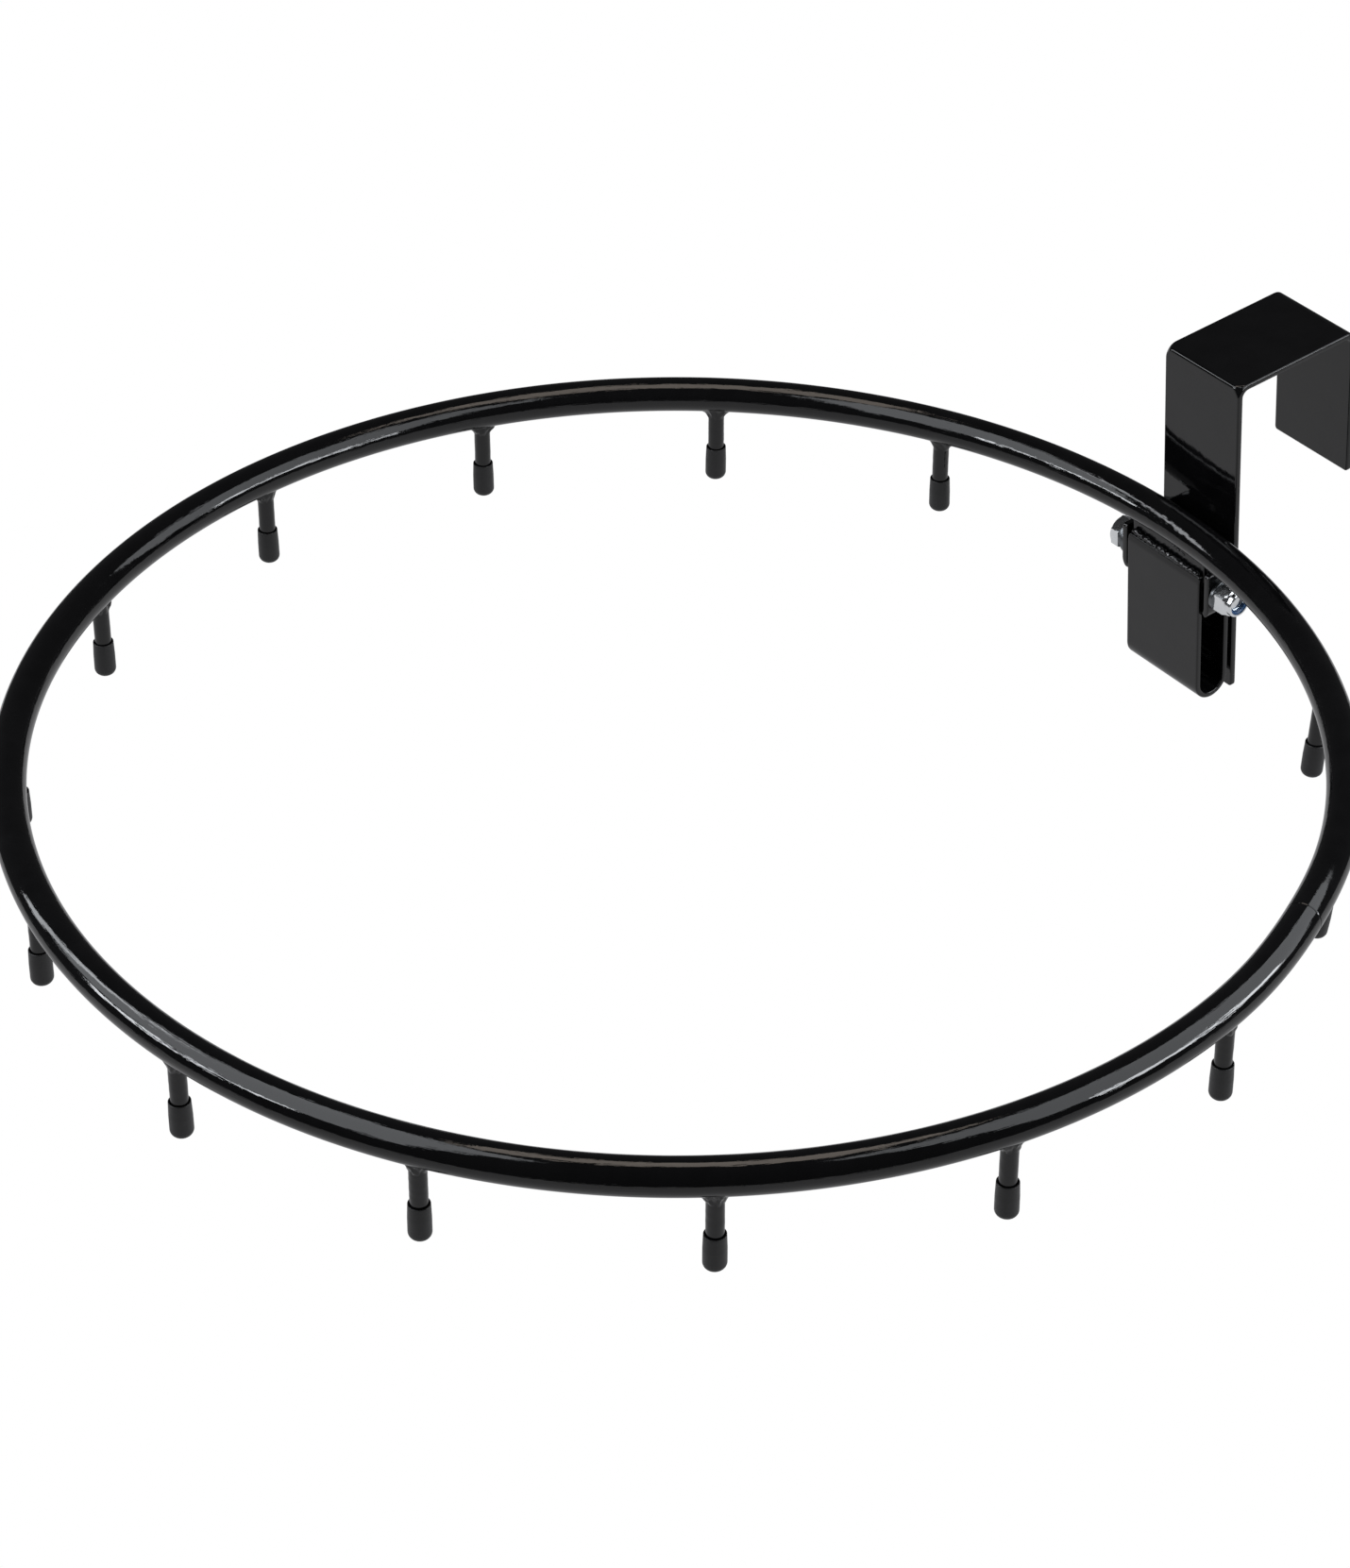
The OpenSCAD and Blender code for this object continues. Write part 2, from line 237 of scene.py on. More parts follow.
def flat_bar(line, ways, plane, low, high, thick, edge=0.5 * MM, corner=1.2 * MM, across=14, press=None):
    """A flat bar carried along a line in a plane. The line's own sideways direction is the bar's thickness,
    and the plane's normal is its width, from low to high. Its long edges are quarter rounds, and its ends
    are rounded to the corner radius by narrowing the last rows as a circle does. The press function may
    move the outer face further out, given each row's place and direction."""
    e1, e2, e3 = plane
    run = np.concatenate([[0], np.cumsum(np.linalg.norm(np.diff(line, axis=0), axis=1))])
    rows = np.unique(np.round(np.concatenate([run, arc_rows(run[-1], corner)]), 9))
    points = np.stack([np.interp(rows, run, line[:, k]) for k in (0, 1)], -1)
    way = np.stack([np.interp(rows, run, ways[:, k]) for k in (0, 1)], -1)
    way /= np.linalg.norm(way, axis=1, keepdims=True)
    left = np.interp(rows, run, np.broadcast_to(low, run.shape))
    right = np.interp(rows, run, np.broadcast_to(high, run.shape))
    away = np.minimum(rows, run[-1] - rows)
    narrow = corner - np.sqrt(np.clip(corner ** 2 - np.clip(corner - away, 0, None) ** 2, 0, None))
    bow = np.sqrt(np.clip(edge ** 2 - np.clip(edge - away, 0, None) ** 2, 0, None))
    share, side, turn = bar_section(across)
    lo = (left + narrow)[:, None] + bow[:, None]
    hi = (right - narrow)[:, None] - bow[:, None]
    wide = lo + (hi - lo) * share + bow[:, None] * np.cos(turn)
    deep = (thick / 2 - edge) * side + bow[:, None] * np.sin(turn)
    if press:
        deep = deep + press(points, way, wide) * np.clip(deep / (thick / 2), 0, 1)
    plan = (points[:, None, 0] - deep * way[:, None, 1], points[:, None, 1] + deep * way[:, None, 0])
    return loft(plan[0][..., None] * e1 + plan[1][..., None] * e2 + wide[..., None] * e3)


def lathe_hoop(profile, origin, axis, spoke, cols=72):
    """A closed outline of distances along an axis and radii about it, turned round the axis."""
    along, radius = np.array(profile, float).T
    return hoop(turned(along[:, None], radius[:, None], origin, axis, spoke, cols))


def turned(along, radius, origin, axis, spoke, cols):
    """Points at each distance and radius, at even turns about the axis, from the spoke's direction on."""
    other = np.cross(axis, spoke)
    angle = turns(cols)
    out = np.cos(angle)[:, None] * spoke + np.sin(angle)[:, None] * other
    return origin + along[..., None] * axis + radius[..., None] * out


def hex_radius(flats, cols):
    """Radius of a hexagon at even turns, with a flat facing the first."""
    return flats / 2 / np.cos((turns(cols) + np.pi / 6) % (np.pi / 3) - np.pi / 6)


def bead(start, end, radius, seed, pitch=1.5 * MM, rough=0.16, drift=0.2 * MM, cols=30):
    """A weld bead between two points: a round section whose radius swells once for each drop of metal, the
    swells leaning forward at the middle of the bead, with seeded lumps on top. Its ends close as domes."""
    start, end = np.array(start, float), np.array(end, float)
    length = np.linalg.norm(end - start)
    way = (end - start) / length
    s = np.linspace(0, length, max(24, int(length / (0.22 * MM))))
    S, T = np.meshgrid(s, turns(cols), indexing="ij")
    near = np.clip(np.minimum(S, length - S) / radius, 0, 1)
    dome = np.sqrt(np.clip(1 - (1 - near) ** 2, 0, 1))
    drops = np.cos(2 * np.pi * S / pitch + 1.4 * np.cos(T)) * 0.09
    lumps = ripple(S, T * radius, seed, 1.4 * MM) * rough + ripple(S, T * 0, seed + 1, 5 * MM) * rough * 0.7
    r = radius * dome * (1 + drops + lumps)
    side = np.cross(way, Z)
    side /= np.linalg.norm(side)
    up = np.cross(side, way)
    line = start + S[..., None] * way + ripple(S, S * 0, seed + 2, 6 * MM)[..., None] * drift * up
    return loft(line + r[..., None] * (np.cos(T)[..., None] * side + np.sin(T)[..., None] * up))


def level_bead(node, y, z, radius, seed, **shape):
    """A straight bead across the bracket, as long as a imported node, at one depth and height."""
    lo, hi = corners(node)
    return bead((lo[0], y, z), (hi[0], y, z), radius, seed, **shape)


def spatter(centres, sizes, squash_axis):
    """Small drops of weld metal: one coarse ball, repeated at each centre with its size and flattened
    along one axis."""
    lat = np.linspace(0, np.pi, 6)[1:-1]
    A, B = np.meshgrid(lat, turns(8), indexing="ij")
    ball = np.stack([np.sin(A) * np.cos(B), np.sin(A) * np.sin(B), np.cos(A)], -1)
    ball = ball - 0.4 * (ball @ squash_axis)[..., None] * squash_axis
    return [loft(c + s * ball) for c, s in zip(centres, sizes)]


def on_ring(turn, out, up):
    """Place at a turn round the ring from the hook, a distance out from the tube's middle and a height
    above it, both measured square to the tube."""
    turn, out, up = np.broadcast_arrays(turn, out, up)
    spoke = -np.sin(turn)[..., None] * X + np.cos(turn)[..., None] * ring_back
    return ring_centre + (ring_r + out)[..., None] * spoke + up[..., None] * ring_up


def ring_turn(node):
    """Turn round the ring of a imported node's middle."""
    lo, hi = corners(node)
    off = (lo + hi) / 2 - ring_centre
    return math.atan2(-off @ X, off @ ring_back)


def peg_stance(number):
    """Turn of a peg round the ring, and its lean inwards: how far its cap's middle stands in from the
    tube's middle, over how far it hangs under it."""
    node = f"cap_{number:02d}"
    lo, hi = corners(node)
    off = (lo + hi) / 2 - ring_centre
    inwards = ring_r - math.hypot(off @ X, off @ ring_back)
    return ring_turn(node), math.atan2(inwards, -(off @ ring_up))


def on_peg(stance, along, across, up):
    """Place about a peg's own axis, leaned inwards about the middle of the tube."""
    turn, lean = stance
    out = across * math.cos(lean) + up * math.sin(lean)
    return on_ring(turn + along / ring_r, out, up * math.cos(lean) - across * math.sin(lean))


# ---------------------------------------------------------------- finishes

def node_group(name, inputs, outputs):
    """A shader node group with named inputs and outputs, and its two end nodes."""
    group = bpy.data.node_groups.new(name, "ShaderNodeTree")
    for label, kind, value in inputs:
        socket = group.interface.new_socket(label, in_out="INPUT", socket_type=kind)
        if value is not None:
            socket.default_value = value
    for label, kind in outputs:
        group.interface.new_socket(label, in_out="OUTPUT", socket_type=kind)
    return group, group.nodes.new("NodeGroupInput"), group.nodes.new("NodeGroupOutput")


def connect(tree, *pairs):
    """Links each pair's output to its input."""
    for a, b in pairs:
        tree.links.new(a, b)


def noise(tree, where, scale, detail=2.0, rough=0.5):
    """Soft noise between 0 and 1."""
    node = tree.nodes.new("ShaderNodeTexNoise")
    node.inputs["Scale"].default_value = scale
    node.inputs["Detail"].default_value = detail
    node.inputs["Roughness"].default_value = rough
    tree.links.new(where, node.inputs["Vector"])
    return node.outputs["Fac"]


def spread(tree, value, low, high, to_low, to_high):
    """A value's range from low to high, spread over another range and held there."""
    node = tree.nodes.new("ShaderNodeMapRange")
    for label, number in (("From Min", low), ("From Max", high), ("To Min", to_low), ("To Max", to_high)):
        node.inputs[label].default_value = number
    tree.links.new(value, node.inputs["Value"])
    return node.outputs["Result"]


def arithmetic(tree, kind, a, b=0.0):
    """One sum on sockets or plain numbers."""
    node = tree.nodes.new("ShaderNodeMath")
    node.operation = kind
    for socket, value in zip(node.inputs, (a, b)):
        if isinstance(value, (int, float)):
            socket.default_value = value
        else:
            tree.links.new(value, socket)
    return node.outputs[0]


def build_sprayed_skin():
    """Height and dullness of a sprayed or moulded skin: broad flow, fine orange peel and sparse nibs."""
    group, given, out = node_group(
        "sprayed_skin",
        [("Position", "NodeSocketVector", None), ("Flow", "NodeSocketFloat", 1.0),
         ("Peel", "NodeSocketFloat", 1.0), ("Nibs", "NodeSocketFloat", 1.0)],
        [("Height", "NodeSocketFloat"), ("Dullness", "NodeSocketFloat")])
    at = given.outputs["Position"]
    flow = arithmetic(group, "MULTIPLY", noise(group, at, scale=55, detail=1.5), given.outputs["Flow"])
    peel = arithmetic(group, "MULTIPLY", noise(group, at, scale=420), given.outputs["Peel"])
    cells = group.nodes.new("ShaderNodeTexVoronoi")
    cells.inputs["Scale"].default_value = 150
    group.links.new(at, cells.inputs["Vector"])
    dot = spread(group, cells.outputs["Distance"], 0.02, 0.12, 1.0, 0.0)
    rare = spread(group, noise(group, at, scale=38, detail=3.0), 0.60, 0.66, 0.0, 1.0)
    nibs = arithmetic(group, "MULTIPLY", arithmetic(group, "MULTIPLY", dot, rare), given.outputs["Nibs"])
    height = arithmetic(group, "ADD", arithmetic(group, "ADD", flow, peel), nibs)
    group.links.new(height, out.inputs["Height"])
    clouds = noise(group, at, scale=90, detail=5.0, rough=0.65)
    group.links.new(spread(group, clouds, 0.35, 0.75, 0.0, 1.0), out.inputs["Dullness"])
    return group


def build_drawn_lines():
    """Fine long ridges along the ring's tube, in patches, as a drawing die leaves them: noise over the way
    round the ring, stretched along it, and the two ways across the tube."""
    group, given, out = node_group("drawn_lines", [("Position", "NodeSocketVector", None)],
                                   [("Height", "NodeSocketFloat")])
    place = group.nodes.new("ShaderNodeMapping")
    place.vector_type = "TEXTURE"
    place.inputs["Location"].default_value = ring_centre.tolist()
    place.inputs["Rotation"].default_value = (-ring_tilt, 0, 0)
    group.links.new(given.outputs["Position"], place.inputs["Vector"])
    split = group.nodes.new("ShaderNodeSeparateXYZ")
    group.links.new(place.outputs["Vector"], split.inputs["Vector"])
    x, y, z = (split.outputs[k] for k in "XYZ")
    turn = arithmetic(group, "ARCTAN2", x, arithmetic(group, "MULTIPLY", y, -1.0))
    x_squared = arithmetic(group, "MULTIPLY", x, x)
    y_squared = arithmetic(group, "MULTIPLY", y, y)
    from_middle = arithmetic(group, "SQRT", arithmetic(group, "ADD", x_squared, y_squared))
    along_rate = 22.0
    across_rate = 1500.0
    ways = ((turn, along_rate, "X"), (from_middle, across_rate, "Y"), (z, across_rate, "Z"))
    spun = group.nodes.new("ShaderNodeCombineXYZ")
    for value, rate, label in ways:
        group.links.new(arithmetic(group, "MULTIPLY", value, rate), spun.inputs[label])
    patches = spread(group, noise(group, given.outputs["Position"], scale=30), 0.40, 0.62, 0.25, 1.0)
    fine = noise(group, spun.outputs["Vector"], scale=1.0, detail=2.5, rough=0.6)
    ridges = arithmetic(group, "MULTIPLY", fine, patches)
    group.links.new(ridges, out.inputs["Height"])
    return group


def new_finish(name):
    """A material with its shader, and the object's own position."""
    finish = bpy.data.materials.new(name)
    finish.use_nodes = True
    tree = finish.node_tree
    shader = tree.nodes["Principled BSDF"]
    place = tree.nodes.new("ShaderNodeTexCoord").outputs["Object"]
    return finish, tree, shader, place


def use_skin(tree, place, shader, flow, peel, nibs, strength, distance, rough, lines=0.0):
    """Puts the shared skin on a shader: its height through a bump, with the tube's drawn lines added where
    asked, and its dullness through the roughness."""
    skin = tree.nodes.new("ShaderNodeGroup")
    skin.node_tree = SKIN
    tree.links.new(place, skin.inputs["Position"])
    for label, value in (("Flow", flow), ("Peel", peel), ("Nibs", nibs)):
        skin.inputs[label].default_value = value
    bump = tree.nodes.new("ShaderNodeBump")
    bump.inputs["Strength"].default_value = strength
    bump.inputs["Distance"].default_value = distance
    height = skin.outputs["Height"]
    if lines:
        ridges = tree.nodes.new("ShaderNodeGroup")
        ridges.node_tree = LINES
        tree.links.new(place, ridges.inputs["Position"])
        drawn = arithmetic(tree, "MULTIPLY", ridges.outputs["Height"], lines)
        height = arithmetic(tree, "ADD", height, drawn)
    connect(tree, (height, bump.inputs["Height"]), (bump.outputs["Normal"], shader.inputs["Normal"]))
    tree.links.new(spread(tree, skin.outputs["Dullness"], 0, 1, *rough), shader.inputs["Roughness"])
    return skin


def colour_by_dullness(tree, skin, shader, bright, dull):
    """Runs the base colour from one to the other as the skin grows duller."""
    node = tree.nodes.new("ShaderNodeMix")
    node.data_type = "RGBA"
    node.inputs["A"].default_value = (*bright, 1)
    node.inputs["B"].default_value = (*dull, 1)
    tree.links.new(skin.outputs["Dullness"], node.inputs["Factor"])
    tree.links.new(node.outputs["Result"], shader.inputs["Base Color"])


def make_enamel(name, peel=0.12, flow=1.0, nibs=0.5, rough=(0.03, 0.09), lines=0.0):
    """Gloss black enamel: nearly black, with a wet skin that flows a little and carries a few nibs."""
    finish, tree, shader, place = new_finish(name)
    skin = use_skin(tree, place, shader, flow, peel, nibs, strength=0.5, distance=0.25 * MM, rough=rough,
                    lines=lines)
    shader.inputs["IOR"].default_value = 1.5
    colour_by_dullness(tree, skin, shader, (0.0018, 0.0018, 0.002), (0.0032, 0.0032, 0.0035))
    return finish


def make_rubber():
    """Satin black soft vinyl, moulded, with a fine matt grain and paler scuffs."""
    finish, tree, shader, place = new_finish("cap_vinyl")
    skin = use_skin(tree, place, shader, flow=0.6, peel=0.9, nibs=0.2, strength=0.6, distance=0.12 * MM,
                    rough=(0.34, 0.52))
    shader.inputs["IOR"].default_value = 1.5
    colour_by_dullness(tree, skin, shader, (0.007, 0.007, 0.0075), (0.014, 0.014, 0.0145))
    return finish


def make_zinc(name, bright, dull, rough):
    """Zinc plating over turned and pressed steel: cool grey, faintly cloudy."""
    finish, tree, shader, place = new_finish(name)
    skin = use_skin(tree, place, shader, flow=0.5, peel=0.35, nibs=0.0, strength=0.5, distance=0.10 * MM,
                    rough=rough)
    shader.inputs["Metallic"].default_value = 1.0
    colour_by_dullness(tree, skin, shader, bright, dull)
    return finish


def make_nylon():
    """Dyed nylon ring in the nut: deep blue and satin."""
    finish, tree, shader, place = new_finish("blue_nylon")
    skin = use_skin(tree, place, shader, flow=0.5, peel=0.3, nibs=0.0, strength=0.4, distance=0.10 * MM,
                    rough=(0.22, 0.40))
    colour_by_dullness(tree, skin, shader, (0.010, 0.040, 0.10), (0.018, 0.065, 0.16))
    return finish


SKIN = build_sprayed_skin()
LINES = build_drawn_lines()
enamel = make_enamel("gloss_enamel")
tube_enamel = make_enamel("gloss_enamel_on_tube", flow=0.7, lines=0.6)
bead_enamel = make_enamel("gloss_enamel_on_weld", peel=0.10, flow=1.2, nibs=0.3, rough=(0.03, 0.10))
rubber = make_rubber()
zinc = make_zinc("bright_zinc", (0.94, 0.96, 0.97), (0.82, 0.85, 0.87), (0.12, 0.26))
# The washers' zinc is darkened to about a fifth of the bright zinc: painted shade, standing for the black
# ears they reflect beside them.
zinc_darkened_as_painted_shade = make_zinc("zinc_darkened_as_painted_shade", (0.20, 0.21, 0.22), (0.10, 0.105, 0.11), (0.22, 0.40))
nylon = make_nylon()


# ---------------------------------------------------------------- ring

def ring_tube():
    """The tube: a circle of its radius carried round the ring. Near the hook, where the plate is welded
    under it, seeded waves push its skin in and out by hundredths of a millimetre. At its closing joint it
    has a fine groove, and there the ring runs in a little, because a rolled tube's ends stay straighter."""
    seam = ring_turn("ring_seam_weld") % (2 * np.pi)
    close, fine = np.radians(16), np.radians(0.5)
    turn = np.concatenate([np.linspace(-close, close, 260, endpoint=False),
                           np.linspace(close, seam - fine, 860, endpoint=False),
                           np.linspace(seam - fine, seam + fine, 40, endpoint=False),
                           np.linspace(seam + fine, 2 * np.pi - close, 140, endpoint=False)])
    T, A = np.meshgrid(turn, turns(72), indexing="ij")
    from_hook = (T + np.pi) % (2 * np.pi) - np.pi
    heated = np.exp(-(from_hook / np.radians(6.5)) ** 4)
    lump_height = 0.016 * MM
    lumps = ripple(T * ring_r, A * tube_r, 11, 6 * MM) * lump_height * heated
    off_seam = (T - seam) * ring_r
    groove_depth, groove_reach = 0.13 * MM, 0.16 * MM
    groove = groove_depth * np.exp(-(off_seam / groove_reach) ** 2)
    run_in = seam_run_in * np.exp(-(off_seam / (30 * MM)) ** 2)
    room_for_lumps = 0.03 * MM
    r = tube_r - room_for_lumps + lumps - groove
    part = hoop(on_ring(T, r * np.cos(A) - run_in, r * np.sin(A)))
    add_piece("ring_tube_rolled", RING, tube_enamel, ["ring_tube"], [part])


def ring_seam_weld():
    """The closing weld, ground flush: a flat band round the tube, just under the groove over it."""
    seam = ring_turn("ring_seam_weld")
    C, A = np.meshgrid(turns(16), turns(90), indexing="ij")
    half_width, half_thick = 1.3 * MM, 0.2 * MM
    depth = 0.42 * MM
    uneven = ripple(A * tube_r, C * MM, 5, 2.5 * MM)
    r = tube_r - depth + (half_thick + 0.06 * MM * uneven) * np.sin(C)
    turn = seam + (half_width * np.cos(C) + 0.2 * MM * uneven) / ring_r
    part = hoop(on_ring(turn, r * np.cos(A) - seam_run_in, r * np.sin(A)))
    add_piece("ring_closing_weld", RING, bead_enamel, ["ring_seam_weld"], [part])


# ---------------------------------------------------------------- pegs

def peg_rod(number, stance):
    """A round rod down from inside the tube to inside its cap, with the slight swell of its paint."""
    top, tip = tube_r - 1.2 * MM, peg_drop - 2.2 * MM
    D, A = np.meshgrid(np.linspace(top, tip, 60), turns(40), indexing="ij")
    paint_swell = 0.03 * MM
    r = peg_r + paint_swell * ripple(D, A * peg_r, 100 + number, 4 * MM)
    part = loft(on_peg(stance, r * np.cos(A), r * np.sin(A), -D))
    add_piece(f"peg_rod_{number:02d}", RING, enamel, [f"peg_{number:02d}"], [part])


def peg_fillet(number, stance):
    """The weld between a peg and the tube: from an oval foot on the tube, longest along it, a hollow curve
    sweeps in and down to the peg. The foot lies on the tube's round, and seeded lumps swell the middle."""
    rng = np.random.default_rng(300 + number)
    V, A = np.meshgrid(np.linspace(0, 1, 22), turns(56), indexing="ij")
    size = 3 * MM
    grow = 1 + 0.13 * ripple(np.cos(A) * size, np.sin(A) * size, 400 + number, 4 * MM)
    reach = weld_reach * rng.uniform(0.9, 1.08) * grow
    foot_half_width = 4.1 * MM
    foot_along = reach * np.cos(A)
    foot_across = foot_half_width * grow * np.sin(A)
    foot_up = -np.sqrt(tube_r ** 2 - foot_across ** 2) + 0.25 * MM
    inner = peg_r - 0.15 * MM
    inwards = 1 - np.sin(V * np.pi / 2) ** 0.9
    down = 1 - np.cos(V * np.pi / 2)
    depth = -(tube_r + weld_depth * rng.uniform(0.82, 1.0))
    swell = np.sin(V * np.pi) * (0.28 + 0.30 * ripple(A * size, V * size, 500 + number, 2.2 * MM)) * MM
    along = inner * np.cos(A) * (1 - inwards) + foot_along * inwards + swell * np.cos(A)
    across = inner * np.sin(A) * (1 - inwards) + foot_across * inwards + swell * np.sin(A)
    up = foot_up * (1 - down) + depth * down - 0.6 * np.abs(swell)
    part = loft(on_peg(stance, along, across, up))
    node = f"peg_weld_{number:02d}"
    add_piece(f"peg_fillet_{number:02d}", RING, bead_enamel, [node], [part])


def peg_cap(number, stance):
    """A push-on cap: a cup turned from one outline, rounded below and a little narrower at its mouth. It
    sits a little crooked, as a seeded lean says."""
    rng = np.random.default_rng(600 + number)
    mouth = peg_drop - cap_len
    sole = peg_drop - 1.8 * MM
    stops = [(peg_drop, 0), (peg_drop, cap_r), (mouth + 5.5 * MM, cap_r - 0.02 * MM),
             (mouth, cap_r - 0.22 * MM), (mouth, peg_r + 0.30 * MM), (mouth + 0.8 * MM, peg_r + 0.06 * MM),
             (sole, peg_r + 0.03 * MM), (sole, 0)]
    radii = [2.5 * MM, 3 * MM, 0.16 * MM, 0.1 * MM, 0.3 * MM, 0.1 * MM]
    drop, r = bent_line(stops, radii, 1.2 * MM)[0].T
    D, A = np.meshgrid(drop, turns(56), indexing="ij")
    out_of_round = 0.012 * np.cos(2 * A + rng.uniform(0, 6))
    R = r[:, None] * (1 + out_of_round)
    lean = (D - mouth) * rng.uniform(-0.012, 0.012)
    part = loft(on_peg(stance, R * np.cos(A) + lean, R * np.sin(A), -D))
    add_piece(f"peg_cap_{number:02d}", RING, rubber, [f"cap_{number:02d}"], [part], crease=50)


def pegs():
    """Every peg with its weld and its cap."""
    for number in range(1, peg_count + 1):
        stance = peg_stance(number)
        peg_rod(number, stance)
        peg_fillet(number, stance)
        peg_cap(number, stance)


# ---------------------------------------------------------------- swinging half of the bracket

def stem_plate():
    """The upright plate between tube and barrel, its ends inside both."""
    lo, hi = corners("stem_plate")
    thick = hi[1] - lo[1]
    line, ways = bent_line([(tube_at_hook[1], tube_at_hook[2] - tube_r + 1.5 * MM),
                            (tube_at_hook[1], pivot[2] + 4.2 * MM)], [], 1 * MM)
    part = flat_bar(line, ways, (Y, Z, X), lo[0], hi[0], thick)
    add_piece("stem_plate_cut", RING, enamel, ["stem_plate"], [part])


def stem_weld():
    """The beads that hold the plate under the tube, one before it and one behind it."""
    off_middle = 1.3 * MM
    z = tube_at_hook[2] - tube_r - 0.05 * MM
    parts = [level_bead("stem_weld", tube_at_hook[1] + side * off_middle, z, 0.8 * MM, seed, rough=0.08)
             for side, seed in ((-1, 21), (1, 24))]
    add_piece("stem_bead", RING, bead_enamel, ["stem_weld"], parts, crease=60)


def hinge_barrel():
    """A short tube round the bolt, its bore open and its rims eased."""
    lo, hi = corners("hinge_barrel")
    outer, bore = (hi[1] - lo[1]) / 2, bolt_r + 0.07 * MM
    mid = (outer + bore) / 2
    ease_r = 0.3 * MM
    outline = [(lo[0] + ease_r, outer), (0, outer), (hi[0] - ease_r, outer), (hi[0], outer - ease_r),
               (hi[0], mid), (hi[0], bore + ease_r), (hi[0] - ease_r, bore), (0, bore),
               (lo[0] + ease_r, bore), (lo[0], bore + ease_r), (lo[0], mid), (lo[0], outer - ease_r)]
    part = lathe_hoop(outline, pivot, X, Y)
    add_piece("hinge_barrel_tube", RING, enamel, ["hinge_barrel"], [part])


def barrel_weld():
    """The bead behind the plate, where it stands on the barrel."""
    lo, hi = corners("barrel_weld")
    part = level_bead("barrel_weld", lo[1] + 0.6 * MM, (lo[2] + hi[2]) / 2, 1.2 * MM, 31)
    add_piece("barrel_bead", RING, bead_enamel, ["barrel_weld"], [part], crease=60)


def stop_strap():
    """The strap: down in front of the barrel, round a half circle, and up behind to just under the web.
    Its top edge leans back a little."""
    front, back = strap_lo[1] + strap_t / 2, strap_hi[1] - strap_t / 2
    half = (back - front) / 2
    bottom = strap_lo[2] + strap_t / 2
    top = strap_hi[2]
    tail = saddle_lo[2] - 0.6 * MM
    stops = [(front + 0.5 * MM, top), (front, top - 2.5 * MM), (front, bottom), (back, bottom), (back, tail)]
    line, ways = bent_line(stops, [6 * MM, half - 1e-6, half - 1e-6], 2 * MM)
    part = flat_bar(line, ways, (Y, Z, X), strap_lo[0], strap_hi[0], strap_t, edge=0.45 * MM,
                    corner=1.0 * MM)
    add_piece("stop_strap_bent", RING, enamel, ["stop_strap"], [part])


def strap_weld():
    """The rough bead along the strap's top edge, higher towards the bolt's head, with three short dashes of
    tacking weld and drops of spatter on the plate above it."""
    lo, hi = corners("strap_weld")
    y, z = strap_lo[1] + 1.5 * MM, strap_hi[2]
    parts = [bead((lo[0], y, z + 1.2 * MM), (hi[0], y, z + 0.1 * MM), 0.95 * MM, 41, pitch=2.4 * MM,
                  rough=0.09, drift=0.3 * MM)]
    rng = np.random.default_rng(44)
    drops = 9
    plate_front = tube_at_hook[1] - 1 * MM
    for number, x in enumerate((1.5 * MM, 4.2 * MM, 6.8 * MM)):
        level = z + 5.6 * MM - 0.2 * x
        parts.append(bead((x, plate_front, level), (x + 2 * MM, plate_front, level - 0.4 * MM), 0.36 * MM,
                          46 + number, rough=0.1, drift=0.05 * MM))
    centres = np.stack([rng.uniform(lo[0], hi[0], drops), np.full(drops, plate_front),
                        z + 2.2 * MM + np.abs(rng.normal(0, 1.2 * MM, drops))], -1)
    parts += spatter(centres, rng.uniform(0.10 * MM, 0.26 * MM, drops), Y)
    add_piece("strap_bead", RING, bead_enamel, ["strap_weld"], parts, crease=60)


# ---------------------------------------------------------------- fixed half of the bracket

def pressed_corner(points, way, wide):
    """How far the front bend stands out past its round. Seen from the bend's own centre, the bar's outer
    face is a square corner whose tip is a small arc, and towards both edges the arc grows to the round."""
    turn = np.arctan2(way[:, 0], way[:, 1])[:, None] % (np.pi / 2)
    tip_r, run_out = 1.3 * MM, 2.5 * MM
    inside = np.clip((hook_w / 2 - np.abs(wide)) / run_out, 0, 1)
    tight = hook_bend - (hook_bend - tip_r) * ease(inside)
    flat = hook_bend - tight
    reach = flat * (np.cos(turn) + np.sin(turn))
    tip = reach + np.sqrt(np.clip(reach ** 2 - 2 * flat ** 2 + tight ** 2, 0, None))
    face = hook_bend / np.maximum(np.cos(turn), np.sin(turn))
    on_tip = np.minimum(np.tan(turn), 1 / np.maximum(np.tan(turn), 1e-9)) * hook_bend > flat
    return np.where(points[:, :1] < 0, np.where(on_tip, tip, face) - hook_bend, 0)


def hook():
    """One flat bar bent twice: the long leg, the top and the short leg."""
    t = hook_t
    y0, y1 = hook_lo[1] + t / 2, hook_hi[1] - t / 2
    mid = t / 2
    stops = [(y0, hook_lo[2]), (y0, mid), (y1, mid), (y1, t - back_len)]
    line, ways = bent_line(stops, [hook_bend - t / 2] * 2, 3 * MM, fine=56)
    part = flat_bar(line, ways, (Y, Z, X), hook_lo[0], hook_hi[0], t, edge=0.6 * MM, corner=1.5 * MM,
                    across=40, press=pressed_corner)
    add_piece("hook_bent", HOOK, enamel, ["hook"], [part])


